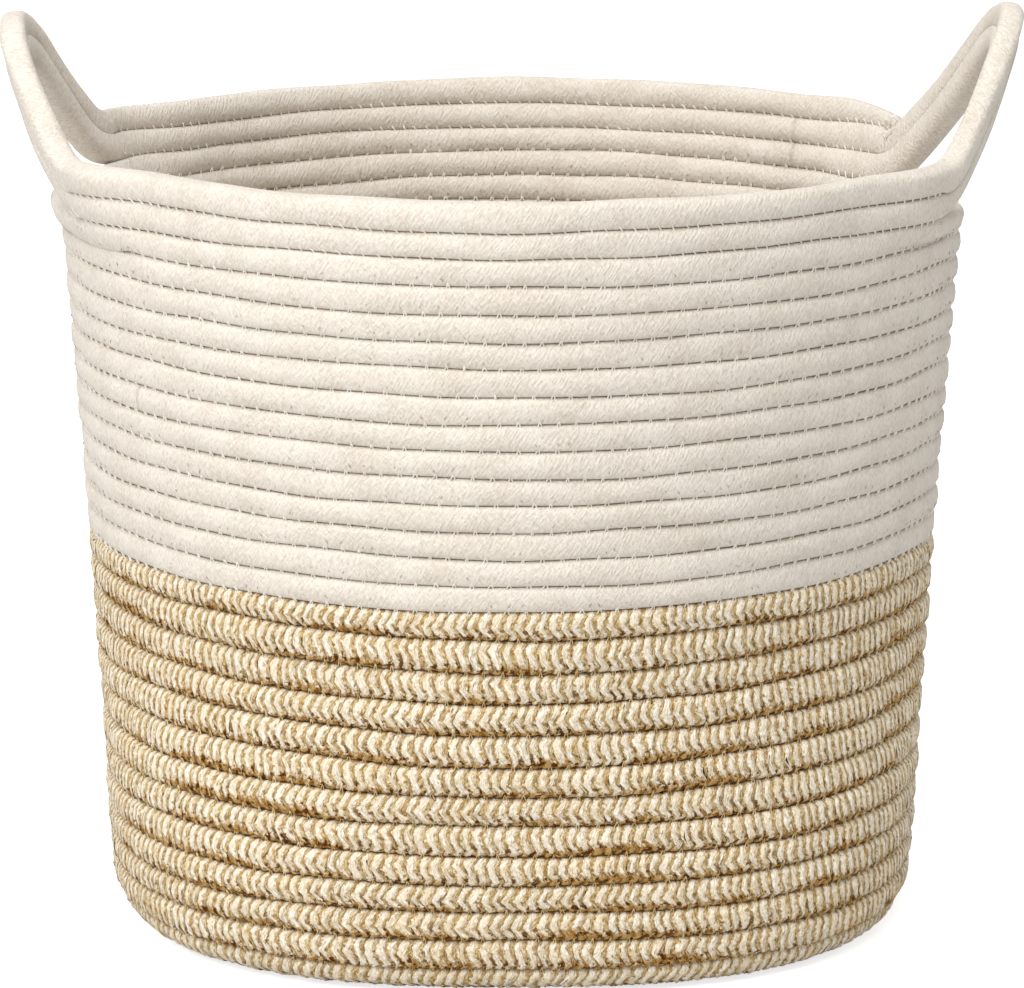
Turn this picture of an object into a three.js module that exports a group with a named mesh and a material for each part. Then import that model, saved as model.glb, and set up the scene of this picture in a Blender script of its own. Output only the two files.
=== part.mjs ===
// A round laundry basket coiled from two cotton ropes and sewn course on course.
// Millimetres, +Z up, origin on the floor under the centre of the base, handles at -X and +X.
import * as THREE from 'three'

// Driving sizes of the body
const rimRadius = 165 // outside of the top course, on the X and Y axes
const wallLean = THREE.MathUtils.degToRad(4) // the wall widens upwards by this angle
const heelRadius = 18 // outside radius where the wall turns under
const rimSquareness = 1.9 // exponent of the section at the top, where 2 is a circle
const baseSquareness = 2.5 // exponent of the section at the base, towards a square
const squareFrom = 115 // height above the floor where the section starts to square up, downwards
const squareTo = 25 // height above the floor where it is fully squared

// Driving sizes of the ropes
const mixedThickness = 10.4 // jute and cotton rope, through the wall
const mixedPitchLow = 9.45 // course height on the base and at the heel
const mixedPitchHigh = 11.65 // course height under the colour change
const whiteThickness = 9.4 // white cotton rope, through the wall
const whitePitch = 9.4 // course height of the white rope
const mixedCourses = 13 // courses of the wall in mixed rope
const whiteCourses = 15 // courses above them, the handle courses included
const handleCourses = 2 // top courses that lift off as handles
const courseGap = 0.6 // clearance between neighbouring courses
const buttGap = 0.3 // clearance where one length of rope meets the next
const standDepth = 0.1 // share of the rope's thickness pressed flat on the floor

// Driving sizes of the winding
const endAzimuth = THREE.MathUtils.degToRad(22.5) // where each length of rope ends
const climbTurn = 0.125 // share of a turn, from that azimuth on, in which the wall courses climb
const climbShare = 0.8 // share of the climb made there, the rest is spread over the turn
const eyeRadius = 1.4 // hole in the middle of the base spiral

// Driving sizes of the handles. A handle's two legs come in the order in which the rope is wound.
const rightRise = 53 // lift of the handle courses over the rim
const leftRise = 44.5
const handles = [
  {
    azimuth: THREE.MathUtils.degToRad(0.5), // right, where the courses climb
    rise: rightRise,
    slopes: [THREE.MathUtils.degToRad(43), THREE.MathUtils.degToRad(51.5)],
    flareCurve: 0.84, // power of the lean over the handle's height, under 1 leans early
  },
  {
    azimuth: THREE.MathUtils.degToRad(180), // left
    rise: leftRise,
    slopes: [THREE.MathUtils.degToRad(45), THREE.MathUtils.degToRad(48)],
    flareCurve: 0.64,
  },
]
const handleFlare = 16 // outward lean of the handle's crown
const handleFootRadius = 32 // curve where a leg leaves the rim
const handleCrownRadius = 24 // curve under the crown
const flareFrom = 1.1 // half widths of a handle from its middle out to which it leans in full
const flareTo = 1.65 // half widths from its middle where the lean has died out

// Facets
const turnSteps = 16 // steps in each turn of rope
const bendSteps = 2 // steps round each of a handle's bends
const shortestStep = 0.002 // share of a turn under which two steps are one

// Worked out from the sizes above
const ropeHalf = mixedThickness / 2
const baseHeight = ropeHalf - standDepth * mixedThickness
const heelBend = heelRadius - ropeHalf
const heelAngle = Math.PI / 2 - wallLean
const heelLength = heelBend * heelAngle
const mixedLength = (mixedCourses * (mixedPitchLow + mixedPitchHigh)) / 2
const risingLength = mixedPitchLow + mixedLength + whiteCourses * whitePitch
const wallLength = risingLength - heelLength
const rimLineRadius = rimRadius - whiteThickness / 2
const flatRadius = rimLineRadius - wallLength * Math.sin(wallLean) - heelBend * Math.cos(wallLean)
const startTurn = (eyeRadius + courseGap) / mixedPitchLow
const wallTurn = flatRadius / mixedPitchLow - climbShare / 2
const whiteTurn = wallTurn + mixedCourses
const lastTurn = whiteTurn + whiteCourses
const handleTurn = lastTurn - handleCourses

// Radius and height of the middle of the rope, at a distance s along the basket's profile.
// s runs from the centre of the base outwards, round the heel and up the wall.
function profile(s) {
  const round = THREE.MathUtils.clamp((s - flatRadius) / heelBend, 0, heelAngle)
  const up = Math.max(0, s - flatRadius - heelLength)
  const radius = Math.min(s, flatRadius) + heelBend * Math.sin(round) + up * Math.sin(wallLean)
  const height = baseHeight + heelBend * (1 - Math.cos(round)) + up * Math.cos(wallLean)
  return { radius, height }
}

// Exponent of the superellipse that the section follows at a distance s along the profile.
// The base spiral starts as a circle.
function squareness(s) {
  const out = THREE.MathUtils.smoothstep(s, 0, flatRadius)
  const low = THREE.MathUtils.smoothstep(-profile(s).height, -squareFrom, -squareTo)
  const lowSquareness = THREE.MathUtils.lerp(2, baseSquareness, out)
  return THREE.MathUtils.lerp(rimSquareness, lowSquareness, low)
}

// How far a superellipse of unit radius reaches at an azimuth.
function reach(azimuth, exponent) {
  const x = Math.abs(Math.cos(azimuth)) ** exponent
  const y = Math.abs(Math.sin(azimuth)) ** exponent
  return (x + y) ** (-1 / exponent)
}

// Length of rope path that a turn count stands for on an even spiral.
function evenRise(turn) {
  const inMixed = THREE.MathUtils.clamp(turn - wallTurn, 0, mixedCourses)
  const gain = (mixedPitchHigh - mixedPitchLow) / mixedCourses
  const mixed = mixedPitchLow * inMixed + (gain * inMixed * inMixed) / 2
  const white = Math.max(0, turn - whiteTurn) * whitePitch
  return mixedPitchLow * Math.min(turn, wallTurn) + mixed + white
}

// Distance along the profile of the seam under the rope at a turn count.
// The base is an even spiral, and the wall climbs mostly in one short sector.
function seam(turn) {
  const part = (((turn - wallTurn) % 1) + 1) % 1
  const climbed = Math.min(1, part / climbTurn)
  const share = climbShare * THREE.MathUtils.clamp(turn / wallTurn, 0, 1)
  const pitch = evenRise(turn - part + 1) - evenRise(turn - part)
  return evenRise(turn) + share * pitch * (climbed - part)
}

// The rope winds clockwise as seen from above.
function azimuthOf(turn) {
  return endAzimuth - (turn - wallTurn) * 2 * Math.PI
}

// Outline of the slot under a handle, as lengths along the rim and up the wall:
// a hollow bend out of the rim, a straight leg, and half of the crown, on either side.
for (const handle of handles) {
  handle.legs = handle.slopes.map((slope) => {
    const bends = handleFootRadius + handleCrownRadius
    const straight = (handle.rise - bends * (1 - Math.cos(slope))) / Math.sin(slope)
    const width = bends * Math.sin(slope) + straight * Math.cos(slope)
    return { slope, straight, width, length: bends * slope + straight }
  })
}

// Place and slope of a slot's outline, at a share of it from -1 at one foot to 1 at the other.
function arch(handle, share) {
  const side = Math.sign(share)
  const { slope, straight, width, length } = handle.legs[share > 0 ? 1 : 0]
  const left = length * (1 - Math.abs(share))
  const footSweep = handleFootRadius * slope
  const inFoot = Math.min(left, footSweep) / handleFootRadius
  const inLeg = THREE.MathUtils.clamp(left - footSweep, 0, straight)
  const inCrown = Math.max(0, left - footSweep - straight) / handleCrownRadius
  const crownSlope = slope - inCrown
  const footRun = handleFootRadius * Math.sin(inFoot)
  const footRise = handleFootRadius * (1 - Math.cos(inFoot))
  const legRun = inLeg * Math.cos(slope)
  const legRise = inLeg * Math.sin(slope)
  const crownRun = handleCrownRadius * (Math.sin(slope) - Math.sin(crownSlope))
  const crownRise = handleCrownRadius * (Math.cos(crownSlope) - Math.cos(slope))
  const along = side * (width - footRun - legRun - crownRun)
  return { along, up: footRise + legRise + crownRise, slope: side * (inFoot - inCrown) }
}

// Turn counts at which a handle course has a section over a slot, from foot to foot.
function archTurns(handle, layer) {
  const round = (endAzimuth - handle.azimuth + 2 * Math.PI) / (2 * Math.PI)
  const middle = handleTurn + layer + (round % 1)
  const list = [{ turn: middle, share: 0 }]
  handle.legs.forEach(({ slope, width, length }, second) => {
    const side = second ? 1 : -1
    for (let i = 0; i <= bendSteps; i++) {
      const foot = 1 - (handleFootRadius * slope * i) / bendSteps / length
      const crown = (handleCrownRadius * slope * i) / bendSteps / length
      for (const share of i > 0 ? [foot, crown] : [foot]) {
        const away = (width * share) / (2 * Math.PI * rimLineRadius)
        list.push({ turn: middle + side * away, share: side * share })
      }
    }
  })
  return list.sort((a, b) => a.turn - b.turn).map((place) => ({ ...place, layer, handle }))
}

// All lifts of the rope: each course over each slot, and the rope's end that rides up on them.
const lifts = []
for (let layer = 0; layer <= handleCourses; layer++) {
  handles.forEach((handle) => lifts.push(archTurns(handle, layer)))
}

// The handle courses start one step before their first climb, ahead of the first lift.
const firstLift = handleTurn - 1 / turnSteps

// The end of the rope is tucked in, halfway round the first foot bend of the right handle.
const endTurn = lifts[handleCourses * handles.length][1].turn

// Outward lean of the wall's middle surface near a handle.
function flare(azimuth, s) {
  const slotFloor = seam(lastTurn) - handleCourses * whitePitch
  const leans = handles.map((handle) => {
    const bandHeight = handle.rise + handleCourses * whitePitch
    const up = THREE.MathUtils.clamp((s - slotFloor) / bandHeight, 0, 1)
    const turned = azimuth - handle.azimuth
    const away = Math.abs(Math.atan2(Math.sin(turned), Math.cos(turned))) * rimLineRadius
    const halfWidth = handle.legs[Math.sin(turned) < 0 ? 1 : 0].width
    const near = 1 - THREE.MathUtils.smoothstep(away / halfWidth, flareFrom, flareTo)
    return handleFlare * up ** handle.flareCurve * near
  })
  return Math.max(...leans)
}

// Middle of the wall at an azimuth and a distance along the profile, in the upright plane there.
function wallLine(azimuth, s) {
  const { radius, height } = profile(s)
  return new THREE.Vector2(radius * reach(azimuth, squareness(s)) + flare(azimuth, s), height)
}

// A point of the wall, moved by depth along its outward normal. Nothing reaches under the floor,
// so the rope is pressed flat where it lies there.
function wallPoint(azimuth, s, depth) {
  const probe = 0.05
  const middle = wallLine(azimuth, s)
  const along = wallLine(azimuth, s + probe).sub(wallLine(azimuth, s - probe)).normalize()
  const radius = middle.x + depth * along.y
  const height = Math.max(0, middle.y - depth * along.x)
  return new THREE.Vector3(radius * Math.cos(azimuth), radius * Math.sin(azimuth), height)
}

// Six corners of a rope's section: a flat to each neighbour and a ridge in and out.
// across runs from -1 to 1 between the seams, depth from -1 to 1 through the wall.
const roundSection = [[0, 1], [1, 0.5], [1, -0.5], [0, -1], [-1, -0.5], [-1, 0.5]]

// The same section with its outer ridge cut flat, where the rope lies on the floor.
const cutDepth = 1 - 2 * standDepth
const cutWidth = (1 - cutDepth) / 0.5
const flatSection = [[cutWidth, cutDepth], ...roundSection.slice(1), [-cutWidth, cutDepth]]

// Section of the rope at a turn count, in the base or the wall.
function sectionAt(turn, corners, thickness) {
  const low = seam(turn) + courseGap / 2
  const high = seam(turn + 1) - courseGap / 2
  const azimuth = azimuthOf(turn)
  return corners.map(([across, depth]) => {
    const s = low + ((across + 1) / 2) * (high - low)
    return wallPoint(azimuth, s, (depth * thickness) / 2)
  })
}

// Section of a handle course over a slot, at a share of the slot's outline.
function liftedSection({ turn, layer, share, handle }) {
  const { along, up, slope } = arch(handle, share)
  const floorSeam = seam(turn - layer)
  const low = layer * whitePitch + courseGap / 2
  const high = (layer + 1) * whitePitch - courseGap / 2
  return roundSection.map(([across, depth]) => {
    const out = low + ((across + 1) / 2) * (high - low)
    const shift = along + out * Math.sin(slope)
    const s = floorSeam + up + out * Math.cos(slope)
    return wallPoint(handle.azimuth - shift / rimLineRadius, s, (depth * whiteThickness) / 2)
  })
}

// Turn counts from one end of a length of rope to the other, on the steps that all turns share.
function steps(from, to) {
  const first = Math.ceil((from - wallTurn) * turnSteps)
  const last = Math.floor((to - wallTurn) * turnSteps)
  const list = [from]
  for (let i = first; i <= last; i++) {
    list.push(wallTurn + i / turnSteps)
  }
  list.push(to)
  return list.filter((turn, i) => i === 0 || turn - list[i - 1] > shortestStep)
}

// Share of a turn that a length takes at a distance s along the profile.
function turnShare(length, s) {
  return length / (2 * Math.PI * profile(s).radius)
}

// One unbroken length of rope in the base or the wall, as sections with their turn counts.
function coil(from, to, corners, thickness) {
  const end = to - turnShare(buttGap / 2, seam(to))
  const start = from > startTurn ? from + turnShare(buttGap / 2, seam(from)) : from
  return steps(start, end).map((turn) => ({ turn, points: sectionAt(turn, corners, thickness) }))
}

// Whether a turn count lies clear of every lift, so that its section is a plain one.
function isClear(turn) {
  return lifts.every((lift) => {
    const first = lift[0].turn - shortestStep
    const last = lift.at(-1).turn + shortestStep
    return turn < first || turn > last
  })
}

// One length of the courses that run round the rim and lift off together over both slots.
function handleCourse(from, to) {
  const start = from + turnShare(buttGap / 2, seam(from))
  const end = to - turnShare(buttGap / 2, seam(to))
  const flat = steps(start, end).filter(isClear).map((turn) => {
    return { turn, points: sectionAt(turn, roundSection, whiteThickness) }
  })
  const places = lifts.flat().filter(({ turn }) => turn > start && turn <= to)
  const lifted = places.map((place) => ({ turn: place.turn, points: liftedSection(place) }))
  return [...flat, ...lifted].sort((a, b) => a.turn - b.turn)
}

// A closed tube through the sections, with flat ends. The faces of a rope's upper flat and of its
// lower one are split along alike diagonals, so that neighbouring courses stay parallel.
function tube(sections) {
  const sides = sections[0].points.length
  const points = sections.flatMap((section) => section.points)
  const faces = []
  for (let i = 0; i < sections.length - 1; i++) {
    for (let k = 0; k < sides; k++) {
      const a = i * sides + k
      const b = i * sides + ((k + 1) % sides)
      if (k < Math.floor(sides / 2)) {
        faces.push(a, b, a + sides, b, b + sides, a + sides)
      } else {
        faces.push(a, b, b + sides, a, b + sides, a + sides)
      }
    }
  }
  const last = points.length - sides
  for (let k = 1; k < sides - 1; k++) {
    faces.push(0, k + 1, k)
    faces.push(last, last + k, last + k + 1)
  }
  const geometry = new THREE.BufferGeometry().setFromPoints(points)
  geometry.setIndex(faces)
  geometry.computeVertexNormals()
  return geometry
}

// Least distance between points of a rope that lie half a turn or more apart along it.
function leastGap(sections) {
  const dots = []
  sections.forEach(({ turn, points }, i) => {
    points.forEach((point, k) => {
      dots.push({ turn, point })
      if (i > 0) {
        dots.push({ turn, point: point.clone().lerp(sections[i - 1].points[k], 0.5) })
      }
    })
  })
  let least = Infinity
  dots.forEach(({ turn, point }, i) => {
    for (let j = i + 1; j < dots.length; j++) {
      if (dots[j].turn - turn >= 0.5) {
        least = Math.min(least, point.distanceToSquared(dots[j].point))
      }
    }
  })
  return Math.sqrt(least)
}

const mixedColor = '#d9c7a2'
const whiteColor = '#ece4d8'

const basket = new THREE.Group()

function addRope(name, sections, color) {
  const material = new THREE.MeshStandardMaterial({ color, roughness: 0.95, metalness: 0 })
  const mesh = new THREE.Mesh(tube(sections), material)
  mesh.name = name
  basket.add(mesh)
  console.log(`${name}: least gap to itself ${leastGap(sections).toFixed(2)} mm`)
}

addRope('base_coil', coil(startTurn, wallTurn, flatSection, mixedThickness), mixedColor)
addRope('lower_wall_coil', coil(wallTurn, whiteTurn, roundSection, mixedThickness), mixedColor)
addRope('upper_wall_coil', coil(whiteTurn, firstLift, roundSection, whiteThickness), whiteColor)
addRope('handle_course_lower', handleCourse(firstLift, firstLift + 1), whiteColor)
addRope('handle_course_upper', handleCourse(firstLift + 1, endTurn), whiteColor)

export default basket
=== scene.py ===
# A round laundry basket coiled from two cotton ropes and sewn course on course.
# Shapes are worked out in millimetres, as in the part's source, and made in metres.
import math

import bpy
import numpy as np
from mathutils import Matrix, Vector


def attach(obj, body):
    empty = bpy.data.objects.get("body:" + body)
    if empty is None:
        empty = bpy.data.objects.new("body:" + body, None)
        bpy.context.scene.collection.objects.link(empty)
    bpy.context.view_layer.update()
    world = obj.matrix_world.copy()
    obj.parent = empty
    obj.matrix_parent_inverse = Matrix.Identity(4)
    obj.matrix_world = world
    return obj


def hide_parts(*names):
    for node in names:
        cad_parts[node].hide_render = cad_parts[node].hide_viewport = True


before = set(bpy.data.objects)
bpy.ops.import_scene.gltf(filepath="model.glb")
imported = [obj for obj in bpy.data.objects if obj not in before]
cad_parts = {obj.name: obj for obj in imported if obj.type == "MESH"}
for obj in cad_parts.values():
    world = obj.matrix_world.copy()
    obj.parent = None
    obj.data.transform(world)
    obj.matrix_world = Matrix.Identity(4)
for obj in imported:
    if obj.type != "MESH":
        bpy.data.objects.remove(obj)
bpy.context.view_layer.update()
rng = np.random.default_rng(7)
millimetre = 0.001
print("frame loaded")

# Shape of the wall and the winding

body = {
    "rimRadius": 165.0,
    "wallLean": math.radians(4),
    "heelRadius": 18.0,
    "rimSquareness": 1.9,
    "baseSquareness": 2.5,
    "squareFrom": 115.0,
    "squareTo": 25.0,
}
ropes = {
    "mixedThickness": 10.4,
    "mixedPitchLow": 9.45,  # height of a course in the base and at the heel
    "mixedPitchHigh": 11.65,  # and where the white rope starts
    "whiteThickness": 9.4,
    "whitePitch": 9.4,
    "mixedCourses": 13,
    "whiteCourses": 15,
    "handleCourses": 2,
    "standDepth": 0.1,  # the base's rope is pressed flat by this share of its thickness
}
winding = {
    "endAzimuth": math.radians(22.5),
    "climbTurn": 0.125,  # each course climbs by this share of its pitch in this share of a turn
    "climbShare": 0.8,
    "eyeRadius": 0.6,
    "press": 0.3,  # neighbouring courses are pressed into each other by this much
    "seamWander": (0.26, 0.20, 0.17, 0.12),  # how far the seams wander, in four waves
    "puff": 0.25,  # a course stands proud or back by this much
}
handleForm = {
    "flare": 16.0,  # outward lean of the crown
    "flareFrom": 1.1,  # half widths of a handle out to which it leans in full
    "flareTo": 1.65,  # half widths at which the lean has died out
    "footRadius": 32.0,
    "crownRadius": 24.0,
    "ahead": 1 / 16,  # the handle courses start this share of a turn before they climb
}
# the two legs of a handle come in the order in which the rope is wound
handles = [
    {"azimuth": math.radians(0.5), "rise": 53.0, "flareCurve": 0.84,
     "slopes": np.radians([43.0, 51.5])},
    {"azimuth": math.radians(180), "rise": 44.5, "flareCurve": 0.64,
     "slopes": np.radians([45.0, 48.0])},
]

ropeHalf = ropes["mixedThickness"] / 2
baseHeight = ropeHalf - ropes["standDepth"] * ropes["mixedThickness"]
heelBend = body["heelRadius"] - ropeHalf
heelAngle = math.pi / 2 - body["wallLean"]
heelLength = heelBend * heelAngle
mixedLength = ropes["mixedCourses"] * (ropes["mixedPitchLow"] + ropes["mixedPitchHigh"]) / 2
risingLength = ropes["mixedPitchLow"] + mixedLength + ropes["whiteCourses"] * ropes["whitePitch"]
rimLineRadius = body["rimRadius"] - ropes["whiteThickness"] / 2
leanLength = (risingLength - heelLength) * math.sin(body["wallLean"])
flatRadius = rimLineRadius - leanLength - heelBend * math.cos(body["wallLean"])
startTurn = (winding["eyeRadius"] + ropes["mixedThickness"] * 0.02) / ropes["mixedPitchLow"]
wallTurn = flatRadius / ropes["mixedPitchLow"] - winding["climbShare"] / 2
whiteTurn = wallTurn + ropes["mixedCourses"]
lastTurn = whiteTurn + ropes["whiteCourses"]
handleTurn = lastTurn - ropes["handleCourses"]

bends = handleForm["footRadius"] + handleForm["crownRadius"]
for handle in handles:
    slopes = handle["slopes"]
    handle["straight"] = (handle["rise"] - bends * (1 - np.cos(slopes))) / np.sin(slopes)
    handle["width"] = bends * np.sin(slopes) + handle["straight"] * np.cos(slopes)
    handle["length"] = bends * slopes + handle["straight"]
    handle["middle"] = (winding["endAzimuth"] - handle["azimuth"]) / (2 * math.pi) % 1

# The handle courses start ahead of the first climb. The rope's end is tucked in halfway round
# the first foot bend of the right handle.
firstLift = handleTurn - handleForm["ahead"]
endShare = 1 - handleForm["footRadius"] * handles[0]["slopes"][0] / 2 / handles[0]["length"][0]
endReach = handles[0]["width"][0] * endShare / (2 * math.pi * rimLineRadius)
endTurn = lastTurn + handles[0]["middle"] - endReach


def smoothStep(x, low, high):
    t = np.clip((x - low) / (high - low), 0, 1)
    return t * t * (3 - 2 * t)


# Radius and height of the wall's middle at a distance s along the profile:
# flat out from the centre, an arc round the heel, then a straight leaning wall.
def profile(s):
    turned = np.clip((s - flatRadius) / heelBend, 0, heelAngle)
    up = np.maximum(0, s - flatRadius - heelLength)
    radius = np.minimum(s, flatRadius) + heelBend * np.sin(turned)
    radius = radius + up * math.sin(body["wallLean"])
    height = baseHeight + heelBend * (1 - np.cos(turned)) + up * math.cos(body["wallLean"])
    return radius, height


# The section is a superellipse: a circle in the middle of the base, squarer at the heel.
def reach(azimuth, s):
    out = smoothStep(s, 0, flatRadius)
    low = smoothStep(-profile(s)[1], -body["squareFrom"], -body["squareTo"])
    lowSquareness = 2 + (body["baseSquareness"] - 2) * out
    exponent = body["rimSquareness"] + (lowSquareness - body["rimSquareness"]) * low
    total = np.abs(np.cos(azimuth)) ** exponent + np.abs(np.sin(azimuth)) ** exponent
    return total ** (-1 / exponent)


# Length of path that a turn count stands for on an even spiral, with courses that grow upwards.
def evenRise(turn):
    inMixed = np.clip(turn - wallTurn, 0, ropes["mixedCourses"])
    gain = (ropes["mixedPitchHigh"] - ropes["mixedPitchLow"]) / ropes["mixedCourses"]
    mixed = ropes["mixedPitchLow"] * inMixed + gain * inMixed**2 / 2
    white = np.maximum(0, turn - whiteTurn) * ropes["whitePitch"]
    return ropes["mixedPitchLow"] * np.minimum(turn, wallTurn) + mixed + white


# Distance along the profile of the seam under the rope: the even spiral, with most of the climb
# drawn into one short sector, plus a slow wander as of hand-guided sewing.
def seam(turn):
    part = (turn - wallTurn) % 1
    climbed = smoothStep(part, 0, winding["climbTurn"])
    share = winding["climbShare"] * np.clip(turn / wallTurn, 0, 1)
    pitch = evenRise(turn - part + 1) - evenRise(turn - part)
    first, second, third, fourth = winding["seamWander"]
    wander = first * np.sin(14.51 * turn + 0.5) + second * np.sin(36.0 * turn + 1.9)
    wander = wander + third * np.sin(70.2 * turn + 4.0) + fourth * np.sin(127.3 * turn + 2.7)
    return evenRise(turn) + share * pitch * (climbed - part) + wander


def azimuthOf(turn):
    return winding["endAzimuth"] - (turn - wallTurn) * 2 * math.pi


# A slot's outline at a place from -1 at one foot to 1 at the other: a hollow foot bend,
# a straight leg and half a crown on each side.
def arch(handle, place):
    leg = (place > 0).astype(int)
    slope, straight = handle["slopes"][leg], handle["straight"][leg]
    footRadius, crownRadius = handleForm["footRadius"], handleForm["crownRadius"]
    left = handle["length"][leg] * (1 - np.abs(place))
    inFoot = np.minimum(left / footRadius, slope)
    inLeg = np.clip(left - footRadius * slope, 0, straight)
    inCrown = np.maximum(0, left - footRadius * slope - straight) / crownRadius
    run = footRadius * np.sin(inFoot) + inLeg * np.cos(slope)
    run = run + crownRadius * (np.sin(slope) - np.sin(slope - inCrown))
    rise = footRadius * (1 - np.cos(inFoot)) + inLeg * np.sin(slope)
    rise = rise + crownRadius * (np.cos(slope - inCrown) - np.cos(slope))
    side = np.sign(place)
    return side * (handle["width"][leg] - run), rise, side * (inFoot - inCrown)


# Outward lean of the wall near the handles.
def flare(azimuth, s):
    slotFloor = evenRise(lastTurn) - ropes["handleCourses"] * ropes["whitePitch"]
    most = np.zeros(np.shape(azimuth))
    for handle in handles:
        band = handle["rise"] + ropes["handleCourses"] * ropes["whitePitch"]
        up = np.clip((s - slotFloor) / band, 0, 1)
        turned = azimuth - handle["azimuth"]
        away = np.abs(np.arctan2(np.sin(turned), np.cos(turned))) * rimLineRadius
        away = away / handle["width"][(np.sin(turned) < 0).astype(int)]
        near = 1 - smoothStep(away, handleForm["flareFrom"], handleForm["flareTo"])
        most = np.maximum(most, handleForm["flare"] * up ** handle["flareCurve"] * near)
    return most


def wallLine(azimuth, s):
    radius, height = profile(s)
    return radius * reach(azimuth, s) + flare(azimuth, s), height


# A point of the wall, moved by depth along the outward normal, never under the floor.
def wallPoint(azimuth, s, depth):
    probe = 0.05
    radius, height = wallLine(azimuth, s)
    radiusUp, heightUp = wallLine(azimuth, s + probe)
    radiusDown, heightDown = wallLine(azimuth, s - probe)
    alongRadius, alongHeight = radiusUp - radiusDown, heightUp - heightDown
    length = np.hypot(alongRadius, alongHeight)
    radius = radius + depth * alongHeight / length
    height = np.maximum(0, height - depth * alongRadius / length)
    return np.stack([radius * np.cos(azimuth), radius * np.sin(azimuth), height], -1)


# Where a turn of the rope lies over a handle's slot: from -1 at one foot to 1 at the other.
def slotPlace(turn, layer, handle):
    away = (turn - handleTurn - layer - handle["middle"]) * 2 * math.pi * rimLineRadius
    return away / handle["width"][(away > 0).astype(int)]


# A point in the rope at a turn count: share runs from -1 at the seam under it to 1 at the seam
# over it, and depth is in millimetres outwards. Over a slot the rope follows the arch.
def ropePoint(turn, share, depth):
    turn, share, depth = np.broadcast_arrays(turn, share, depth)
    low = seam(turn) - winding["press"] / 2
    high = seam(turn + 1) + winding["press"] / 2
    s = low + (share + 1) / 2 * (high - low)
    azimuth = azimuthOf(turn)
    for handle in handles:
        for layer in range(ropes["handleCourses"] + 1):
            place = slotPlace(turn, layer, handle)
            lifted = np.abs(place) < 1
            along, up, slope = arch(handle, np.clip(place, -1, 1))
            out = (layer + (share + 1) / 2) * ropes["whitePitch"] + share * winding["press"] / 2
            shift = along + out * np.sin(slope)
            raised = seam(turn - layer) + up + out * np.cos(slope)
            s = np.where(lifted, raised, s)
            azimuth = np.where(lifted, handle["azimuth"] - shift / rimLineRadius, azimuth)
    puff = winding["puff"] * np.sin(3.9 * turn + 2.2 * np.sin(5.1 * turn))
    return wallPoint(azimuth, s, depth + puff * np.sign(depth) * np.clip(turn - wallTurn, 0, 1))


stepsPerTurn = 900


# Turn counts at equal lengths along the rope's middle line, by adding up its small steps.
class RopePath:
    def __init__(self, start, end):
        self.turns = np.linspace(start, end, int((end - start) * stepsPerTurn) + 2)
        line = ropePoint(self.turns, 0.0, 0.0)
        steps = np.linalg.norm(np.diff(line, axis=0), axis=1)
        self.lengths = np.concatenate([[0], np.cumsum(steps)])
        self.total = self.lengths[-1]

    def turnAt(self, length):
        return np.interp(length, self.lengths, self.turns)


# Rope section: a superellipse. Angle 0 is the outer ridge and 90 degrees the upper seam.
def sectionShape(angle, fullness):
    power = 2 / fullness
    across, out = np.sin(angle), np.cos(angle)
    return np.sign(across) * np.abs(across) ** power, np.sign(out) * np.abs(out) ** power


# Length round a section up to each of its corners, and all the way round.
def lengthRound(share, out, thickness, pitch):
    corners = np.stack([share.ravel() * pitch / 2, out.ravel() * thickness / 2], -1)
    steps = np.linalg.norm(np.roll(corners, -1, axis=0) - corners, axis=1)
    return np.concatenate([[0], np.cumsum(steps)])


# Makes a mesh object from arrays of points and of corner numbers, with alike faces.
def addMesh(name, points, faces, faceUvs=None, attributes=None):
    mesh = bpy.data.meshes.new(name)
    mesh.vertices.add(len(points))
    mesh.vertices.foreach_set("co", (points * millimetre).astype(np.float32).ravel())
    mesh.loops.add(faces.size)
    mesh.loops.foreach_set("vertex_index", faces.astype(np.int32).ravel())
    mesh.polygons.add(len(faces))
    corners = faces.shape[1]
    mesh.polygons.foreach_set("loop_start", np.arange(0, faces.size, corners, dtype=np.int32))
    mesh.polygons.foreach_set("use_smooth", np.ones(len(faces), dtype=bool))
    if faceUvs is not None:
        layer = mesh.uv_layers.new(name="ropeMap")
        layer.data.foreach_set("uv", faceUvs.astype(np.float32).ravel())
    for key, values in (attributes or {}).items():
        attribute = mesh.attributes.new(key, "FLOAT", "POINT")
        attribute.data.foreach_set("value", values.astype(np.float32).ravel())
    mesh.update(calc_edges=True)
    thing = bpy.data.objects.new(name, mesh)
    bpy.context.collection.objects.link(thing)
    return thing


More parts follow.
